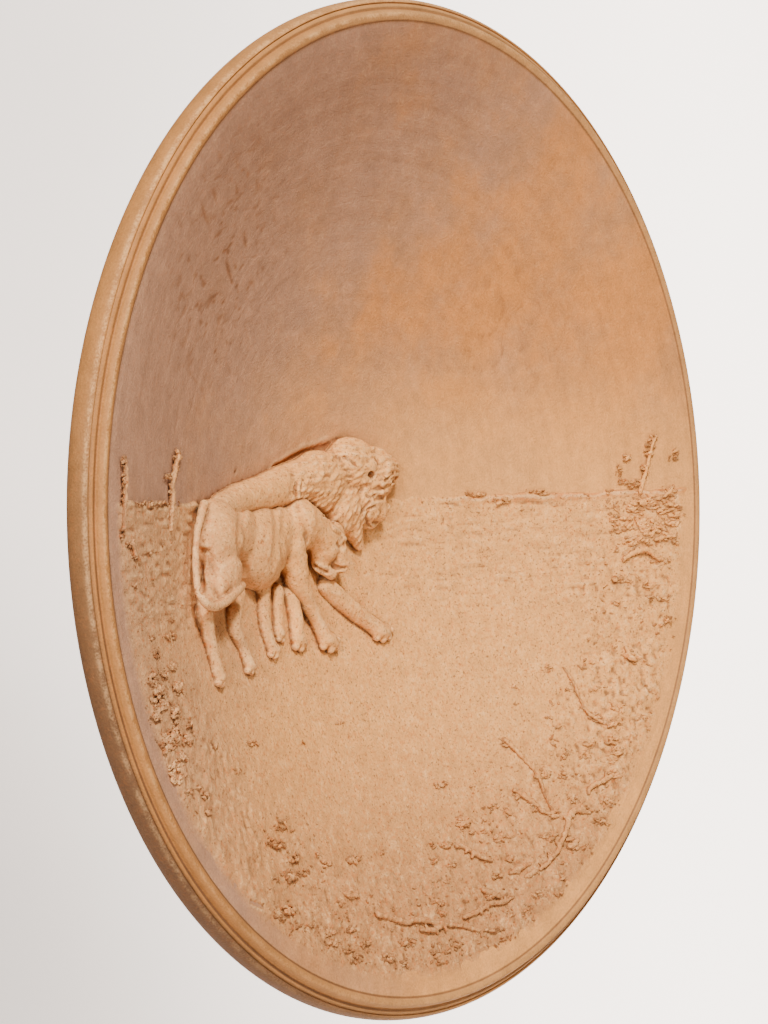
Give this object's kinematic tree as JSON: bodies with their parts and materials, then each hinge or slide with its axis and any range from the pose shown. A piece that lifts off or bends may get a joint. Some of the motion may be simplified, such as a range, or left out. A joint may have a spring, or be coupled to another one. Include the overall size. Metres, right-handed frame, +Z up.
{
  "type": "decorative wall bowl",
  "caption": "Round turned terracotta wall bowl with a moulded lip, a foot ring and a lion and lioness in high relief in its hollow.",
  "frame": {"origin": "on the flat back of the foot ring, at the top of the ring, where the bowl meets the wall", "axes": "+Y into the wall along the bowl's axis, the hollow faces -Y; +Z up as the bowl hangs, towards the sky of the relief; +X to the right as it is seen"},
  "size_m": [0.42, 0.0721, 0.42],
  "materials": {
    "terracotta": "unglazed fired clay, matt, worn bright on the lip"
  },
  "bodies": {
    "root": {"relief_bowl": "terracotta"}
  },
  "joints": []
}
